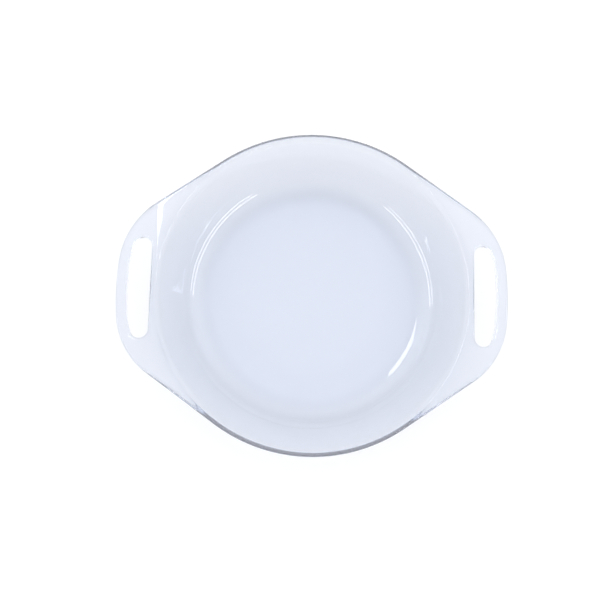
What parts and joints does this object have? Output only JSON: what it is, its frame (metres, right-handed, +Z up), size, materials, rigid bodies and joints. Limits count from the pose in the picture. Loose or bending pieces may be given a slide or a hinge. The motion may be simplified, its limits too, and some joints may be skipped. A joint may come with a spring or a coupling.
{
  "type": "glass baking dish",
  "caption": "Round clear glass baking dish with a sloping wall and two flat wing handles, each with a rounded finger slot.",
  "frame": {"origin": "middle of the base, on the plane that the foot ring stands on", "axes": "+X through both handles, +Y across them, +Z up out of the mouth"},
  "size_m": [0.31, 0.256, 0.05],
  "materials": {
    "clear_glass": "clear pressed glass, glossy and smooth, with a faint cool tint"
  },
  "bodies": {
    "root": {"baking_dish": "clear_glass"}
  },
  "joints": []
}
